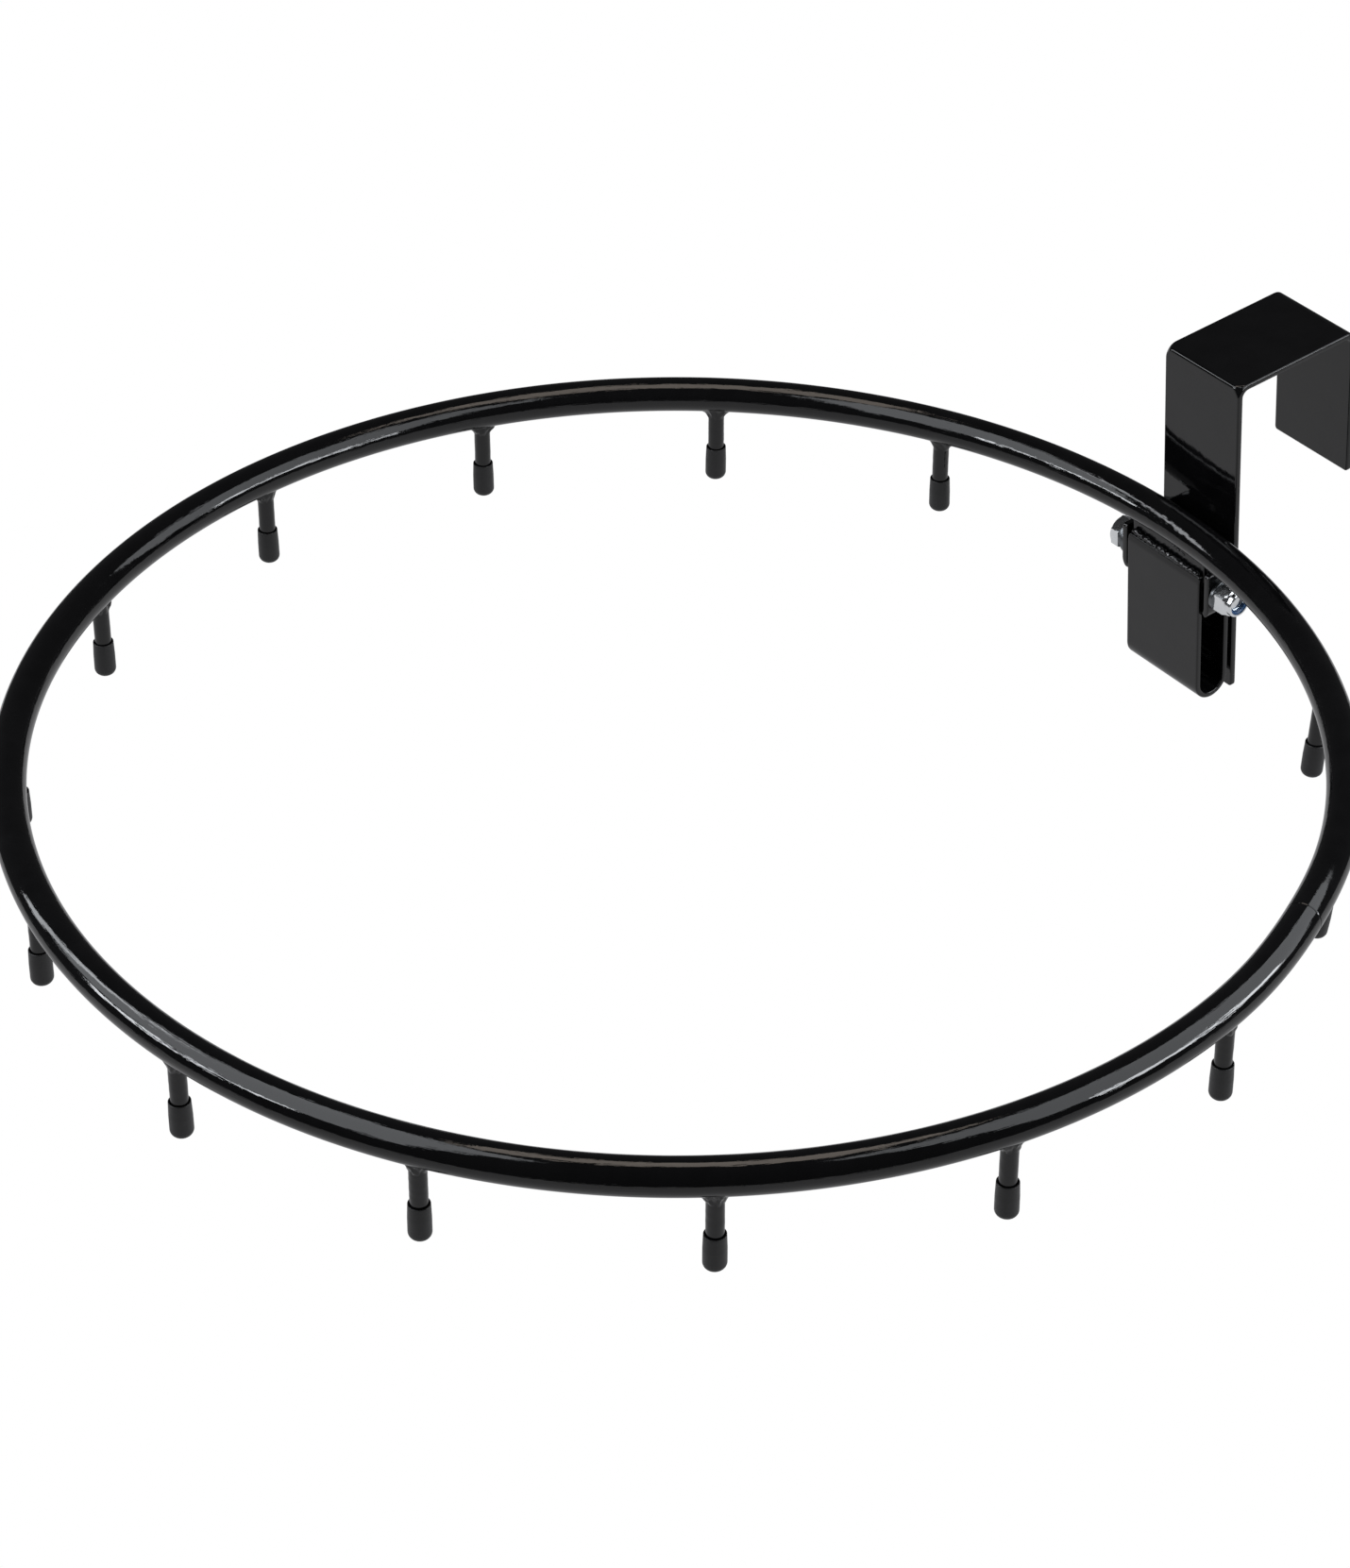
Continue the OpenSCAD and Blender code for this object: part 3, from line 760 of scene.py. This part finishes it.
def hinge_saddle():
    """The channel on the leg: up one ear, round the web and up the other. The web's front edge is set back
    from the ears', and the two run into each other at the bends."""
    web_set = 1.4 * MM
    bend = 2.6 * MM
    x = saddle_hi[0] - saddle_t / 2
    low = saddle_lo[2] + saddle_t / 2
    line, ways = bent_line([(-x, saddle_hi[2]), (-x, low), (x, low), (x, saddle_hi[2])],
                           [bend + saddle_t / 2] * 2, 0.8 * MM)
    on_ear = ease(np.clip((np.abs(line[:, 0]) - (x - bend)) / (1.6 * MM), 0, 1))
    front = saddle_lo[1] + web_set * (1 - on_ear)
    back = np.full(len(line), saddle_hi[1])
    part = flat_bar(line, ways, (X, Z, Y), front, back, saddle_t, edge=0.5 * MM, corner=1.2 * MM)
    add_piece("hinge_saddle_bent", HOOK, enamel, ["hinge_saddle"], [part])


def saddle_weld():
    """The beads above and below the web, on the face of the leg."""
    y = hook_lo[1] - 0.1 * MM
    parts = [level_bead("saddle_weld", y, saddle_lo[2] + saddle_t, 1.5 * MM, 51),
             level_bead("saddle_weld", y, saddle_lo[2], 1.0 * MM, 54)]
    add_piece("saddle_bead", HOOK, bead_enamel, ["saddle_weld"], parts, crease=60)


# ---------------------------------------------------------------- bolt, washers and nut

def bolt_rows(rows, cols, six_sided):
    """Rows round the bolt's axis, each with a place along it and a largest radius. Six-sided rows take the
    smaller of that radius and the hexagon's, which cuts a round chamfer at the corners."""
    place, limit = np.array(rows, float).T
    hexagon = hex_radius(hex_flats, cols) if six_sided else np.full(cols, np.inf)
    radius = np.minimum(limit[:, None], hexagon)
    return turned(place[:, None] + np.zeros((1, cols)), radius, pivot, X, Y, cols)


def hinge_bolt():
    """Hexagon-headed bolt. The head's corners are cut by a cone, its shank is plain, and its last stretch
    has a helical thread: the radius falls and rises once for each pitch along the bolt."""
    cols = 144
    start = bolt_lo[0]
    seat = start + 4.4 * MM
    corner, flat = hex_corner, hex_flats / 2
    head = [(start, 0.02 * MM), (start, 3 * MM), (start, flat - 0.35 * MM),
            (start + 0.1 * MM, flat - 0.1 * MM), (start + 0.75 * MM, corner + 0.05 * MM),
            (start + 2 * MM, corner + 1 * MM),
            (seat - 0.25 * MM, corner + 1 * MM), (seat - 0.05 * MM, corner - 0.1 * MM),
            (seat, corner - 0.5 * MM), (seat, bolt_r + 0.2 * MM), (seat + 0.2 * MM, bolt_r)]
    pitch = 1.27 * MM
    thread_from = bolt_hi[0] - 11 * MM
    end = bolt_hi[0] - 1.7 * MM
    shank = [(place, bolt_r) for place in (seat + 1 * MM, 0.0, thread_from - 1 * MM)]
    along = np.arange(thread_from, end - 0.9 * MM, pitch / 12)[:, None]
    phase = (along / pitch - turns(cols) / (2 * np.pi)) % 1
    depth = 0.62 * MM * np.clip((along - thread_from) / pitch, 0, 1)
    thread_r = bolt_r - depth * (1 - np.abs(2 * phase - 1))
    tip = [(end - 0.8 * MM, bolt_r - 0.3 * MM), (end - 0.05 * MM, bolt_r - 0.8 * MM),
           (end, bolt_r - 0.9 * MM), (end, 0.5 * MM)]
    rings = [bolt_rows(head, cols, True), bolt_rows(shank, cols, False),
             turned(along + np.zeros((1, cols)), thread_r, pivot, X, Y, cols), bolt_rows(tip, cols, False)]
    part = loft(np.concatenate(rings))
    add_piece("hinge_bolt_plated", HOOK, zinc, ["hinge_bolt"], [part], crease=25)


def washer_outline(low, high, bore, outer, ease):
    """Section of a flat ring with eased corners, counted from one side to the other."""
    mid = (bore + outer) / 2
    return [(low, bore + ease), (low, mid), (low, outer - ease), (low + ease, outer), (high - ease, outer),
            (high, outer - ease), (high, mid), (high, bore + ease), (high - ease, bore), (low + ease, bore)]


def flat_washers():
    """Two plain washers, one outside each ear."""
    lo, hi = corners("flat_washers")
    thick = 1.6 * MM
    outer = (hi[1] - lo[1]) / 2
    parts = [lathe_hoop(washer_outline(low, low + thick, bolt_hole, outer, 0.18 * MM), pivot, X, Y)
             for low in (lo[0], hi[0] - thick)]
    add_piece("flat_washers_plated", HOOK, zinc_darkened_as_painted_shade, ["flat_washers"], parts, crease=25)


def spring_washer():
    """A square-sectioned ring, open by a slit, whose ends stand a little apart along the bolt."""
    lo, hi = corners("spring_washer")
    outer = (hi[2] - lo[2]) / 2
    slit = np.radians(14)
    end_offset = 0.12 * MM
    section = np.array([(-0.86, -1), (-0.96, -0.96), (-1, -0.86), (-1, 0.86), (-0.96, 0.96), (-0.86, 1),
                        (0.86, 1), (0.96, 0.96), (1, 0.86), (1, -0.86), (0.96, -0.96), (0.86, -1)])
    T = np.linspace(slit / 2, 2 * np.pi - slit / 2, 90)[:, None]
    lean = (T / np.pi - 1) * end_offset
    along = (lo[0] + hi[0]) / 2 + section[:, 0] * ((hi[0] - lo[0]) / 2 - end_offset) + lean
    radius = (outer + bolt_hole) / 2 + section[:, 1] * (outer - bolt_hole) / 2
    spoke = np.cos(T)[..., None] * Y + np.sin(T)[..., None] * Z
    part = loft(pivot + along[..., None] * X + radius[None, :, None] * spoke)
    add_piece("spring_washer_plated", HOOK, zinc_darkened_as_painted_shade, ["spring_washer"], [part], crease=25)


def lock_nut():
    """Self-locking nut: a chamfered hexagon, then a round collar crimped over its insert. One outline
    runs out from the bore, over the hexagon and the collar, and back in through the mouth."""
    lo, hi = corners("lock_nut")
    foot, face = lo[0], hi[0]
    hex_end = foot + 5.7 * MM
    insert = face - 2.1 * MM
    corner, bore = hex_corner, bolt_hole
    collar = 4.9 * MM
    outline = [(foot, bore), (foot, corner - 0.65 * MM), (foot + 0.35 * MM, corner + 0.05 * MM),
               (foot + 1 * MM, corner + 1 * MM), (hex_end - 1.6 * MM, corner + 1 * MM),
               (hex_end - 1.05 * MM, corner + 0.02 * MM), (hex_end - 0.35 * MM, hex_flats / 2 - 0.05 * MM),
               (hex_end, collar + 0.18 * MM), (hex_end + 0.25 * MM, collar), (face - 1 * MM, collar),
               (face - 0.45 * MM, collar - 0.10 * MM), (face - 0.12 * MM, collar - 0.38 * MM),
               (face, collar - 0.75 * MM), (face - 0.05 * MM, collar - 1 * MM),
               (face - 0.3 * MM, collar - 1.05 * MM), (face - 0.4 * MM, collar - 0.85 * MM),
               (insert, collar - 0.8 * MM), (insert, bore), (insert - 1.5 * MM, bore)]
    part = hoop(bolt_rows(outline, 144, True))
    add_piece("lock_nut_plated", HOOK, zinc, ["lock_nut"], [part], crease=25)


def nut_insert():
    """The ring that grips the thread, dished at its mouth."""
    lo, hi = corners("nut_insert")
    bore, outer = bolt_r - 0.1 * MM, 4.15 * MM
    face = hi[0]
    outline = [(lo[0], bore), (lo[0], outer), (face - 0.2 * MM, outer), (face, outer - 0.3 * MM),
               (face - 0.02 * MM, bore + 0.5 * MM), (face - 0.35 * MM, bore)]
    part = lathe_hoop(outline, pivot, X, Y)
    add_piece("nut_insert_ring", HOOK, nylon, ["nut_insert"], [part])


# ---------------------------------------------------------------- studio

def panel(name, place, faces, edge, wide, high, brightness, tint):
    """A flat lamp at a place counted from the ring's middle, facing a way, with its width along an edge.
    Its power gives its face the brightness asked for."""
    lamp = bpy.data.lights.new(name, "AREA")
    lamp.shape = "RECTANGLE"
    lamp.size, lamp.size_y = wide, high
    lamp.color = tint
    lamp.energy = brightness * math.pi * wide * high
    obj = bpy.data.objects.new(name, lamp)
    bpy.context.scene.collection.objects.link(obj)
    back = -np.array(faces) / np.linalg.norm(faces)
    side = np.array(edge) - back * (back @ edge)
    side = side / np.linalg.norm(side)
    axes = np.stack([side, np.cross(back, side), back], axis=1)
    spot = ring_centre + np.array(place)
    obj.matrix_world = Matrix([[*axes[k], spot[k]] for k in range(3)] + [[0, 0, 0, 1]])


def lights():
    """Three softboxes, a narrow bright panel lower down by each of the first two, and an upright strip
    beside the first that draws the edge of the hook's front bend."""
    panel("key_softbox", (-0.10, -0.45, 0.70), (0.6, 0.75, -0.35), (-0.8, 0.5, -0.3), 0.80, 0.90, 2.3, COOL)
    panel("side_softbox", (0.60, 0.65, 0.50), (-0.35, -0.5, -0.8), (0.6, -0.8, 0.25), 1.20, 1.05, 1.8, COOL)
    panel("top_softbox", (-0.10, 0.20, 1.10), (0, 0, -1), (0.6, -0.8, 0), 0.55, 0.60, 2.3, WARM)
    panel("key_rim", (-0.45, -1.20, 0.50), (0.6, 0.45, -0.65), (-0.8, 0.5, -0.4), 0.90, 0.15, 15, COOL)
    panel("edge_strip", (-0.75, -0.50, 0.60), (0.6, 0.6, -0.45), (1, -1, 0), 0.12, 0.85, 5.5, COOL)
    panel("side_rim", (0.60, 0.50, 0.15), (-0.9, -0.45, 0), (0.45, -0.9, 0), 0.55, 0.10, 12, COOL)


def show_white(tree, plain):
    """Shader that is white to the camera and pale in reflections, and plain to every other ray."""
    path = tree.nodes.new("ShaderNodeLightPath")
    seen = tree.nodes.new("ShaderNodeEmission")
    seen.inputs["Color"].default_value = (1, 1, 1, 1)
    mirrored = tree.nodes.new("ShaderNodeEmission")
    mirrored.inputs["Color"].default_value = (*FLOOR_IN_GLOSS, 1)
    glossy = arithmetic(tree, "MAXIMUM", path.outputs["Is Glossy Ray"], path.outputs["Is Transmission Ray"])
    first = tree.nodes.new("ShaderNodeMixShader")
    connect(tree, (glossy, first.inputs["Fac"]), (plain, first.inputs[1]),
            (mirrored.outputs[0], first.inputs[2]))
    second = tree.nodes.new("ShaderNodeMixShader")
    connect(tree, (path.outputs["Is Camera Ray"], second.inputs["Fac"]),
            (first.outputs[0], second.inputs[1]), (seen.outputs[0], second.inputs[2]))
    return second.outputs[0]


def floor():
    """A round pale table top, well below the rack."""
    depth = 0.5
    reach = 1.9
    bpy.ops.mesh.primitive_circle_add(vertices=96, radius=reach, fill_type="NGON",
                                      location=(0, ring_centre[1], ring_centre[2] - depth))
    table = bpy.context.active_object
    table.name = "studio_floor"
    finish = bpy.data.materials.new("pale_floor")
    finish.use_nodes = True
    tree = finish.node_tree
    tree.nodes.clear()
    diffuse = tree.nodes.new("ShaderNodeBsdfDiffuse")
    diffuse.inputs["Color"].default_value = (0.8, 0.8, 0.8, 1)
    out = tree.nodes.new("ShaderNodeOutputMaterial")
    tree.links.new(show_white(tree, diffuse.outputs[0]), out.inputs["Surface"])
    table.data.materials.append(finish)


def world():
    """A dim room that the camera sees as white."""
    w = bpy.data.worlds.new("studio")
    bpy.context.scene.world = w
    w.use_nodes = True
    tree = w.node_tree
    tree.nodes.clear()
    path = tree.nodes.new("ShaderNodeLightPath")
    room = tree.nodes.new("ShaderNodeBackground")
    room.inputs["Color"].default_value = (0.05, 0.05, 0.052, 1)
    white = tree.nodes.new("ShaderNodeBackground")
    mix = tree.nodes.new("ShaderNodeMixShader")
    white.inputs["Color"].default_value = (1, 1, 1, 1)
    out = tree.nodes.new("ShaderNodeOutputWorld")
    connect(tree, (path.outputs["Is Camera Ray"], mix.inputs["Fac"]), (room.outputs[0], mix.inputs[1]),
            (white.outputs[0], mix.inputs[2]), (mix.outputs[0], out.inputs["Surface"]))


def camera():
    """Looks down across the ring from its far left, a metre and a half away, with a long lens."""
    turn, pitch = math.radians(37.2), math.radians(36.07)
    right = math.cos(turn) * ring_back + math.sin(turn) * X
    ahead = math.sin(turn) * ring_back - math.cos(turn) * X
    up = math.sin(pitch) * ahead + math.cos(pitch) * ring_up
    look = math.cos(pitch) * ahead - math.sin(pitch) * ring_up
    aside, nearer, distance = 0.0021 * ring_r, 0.1132 * ring_r, 6.840 * ring_r
    place = ring_centre - aside * right - nearer * ahead - distance * look
    data = bpy.data.cameras.new("camera")
    data.sensor_width = 36
    data.lens = 105.746
    obj = bpy.data.objects.new("camera", data)
    bpy.context.scene.collection.objects.link(obj)
    axes = np.stack([right, up, -look], axis=1)
    obj.matrix_world = Matrix([[*axes[k], place[k]] for k in range(3)] + [[0, 0, 0, 1]])
    bpy.context.scene.camera = obj


bpy.context.scene.view_settings.view_transform = "Standard"
camera()
lights()
floor()
world()
ring_tube()
ring_seam_weld()
pegs()
stem_plate()
stem_weld()
hinge_barrel()
barrel_weld()
stop_strap()
strap_weld()
hook()
hinge_saddle()
saddle_weld()
hinge_bolt()
flat_washers()
spring_washer()
lock_nut()
nut_insert()
